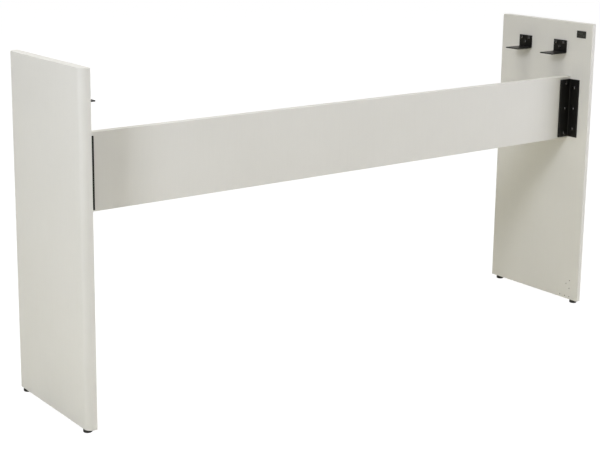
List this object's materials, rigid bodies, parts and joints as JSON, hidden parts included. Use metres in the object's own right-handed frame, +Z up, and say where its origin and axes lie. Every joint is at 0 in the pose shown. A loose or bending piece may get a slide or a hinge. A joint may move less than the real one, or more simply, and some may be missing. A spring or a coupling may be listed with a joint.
{
  "type": "digital piano stand",
  "caption": "Flat-sided stand for a slab digital piano: two upright panels, a low back board between them, steel angle brackets that carry the piano, and round plastic glides.",
  "frame": {"origin": "on the floor, at the middle of the stand's footprint", "axes": "+X to the player's right, +Y to the rear of the stand, away from the player, +Z up"},
  "size_m": [1.37, 0.29, 0.69],
  "materials": {
    "laminate": "satin off-white laminate over particle board",
    "black_steel": "satin black powder coat",
    "black_screw": "black oxide",
    "foot_plastic": "moulded matte black",
    "foot_screw": "zinc plated",
    "plate_print": "satin black print film, blank"
  },
  "bodies": {
    "root": {"left_side_panel": "laminate", "right_side_panel": "laminate", "back_board": "laminate", "left_corner_angle": "black_steel", "right_corner_angle": "black_steel", "left_front_piano_support": "black_steel", "left_rear_piano_support": "black_steel", "right_front_piano_support": "black_steel", "right_rear_piano_support": "black_steel", "left_board_screw_lower": "black_screw", "left_board_screw_middle": "black_screw", "left_board_screw_upper": "black_screw", "left_panel_screw_lower": "black_screw", "left_panel_screw_middle": "black_screw", "left_panel_screw_upper": "black_screw", "right_board_screw_lower": "black_screw", "right_board_screw_middle": "black_screw", "right_board_screw_upper": "black_screw", "right_panel_screw_lower": "black_screw", "right_panel_screw_middle": "black_screw", "right_panel_screw_upper": "black_screw", "left_front_support_screw_1": "black_screw", "left_front_support_screw_2": "black_screw", "left_front_support_screw_3": "black_screw", "left_rear_support_screw_1": "black_screw", "left_rear_support_screw_2": "black_screw", "left_rear_support_screw_3": "black_screw", "right_front_support_screw_1": "black_screw", "right_front_support_screw_2": "black_screw", "right_front_support_screw_3": "black_screw", "right_rear_support_screw_1": "black_screw", "right_rear_support_screw_2": "black_screw", "right_rear_support_screw_3": "black_screw", "left_front_foot": "foot_plastic", "left_rear_foot": "foot_plastic", "right_front_foot": "foot_plastic", "right_rear_foot": "foot_plastic", "left_front_foot_screw": "foot_screw", "left_rear_foot_screw": "foot_screw", "right_front_foot_screw": "foot_screw", "right_rear_foot_screw": "foot_screw", "rating_plate": "plate_print"}
  },
  "joints": []
}
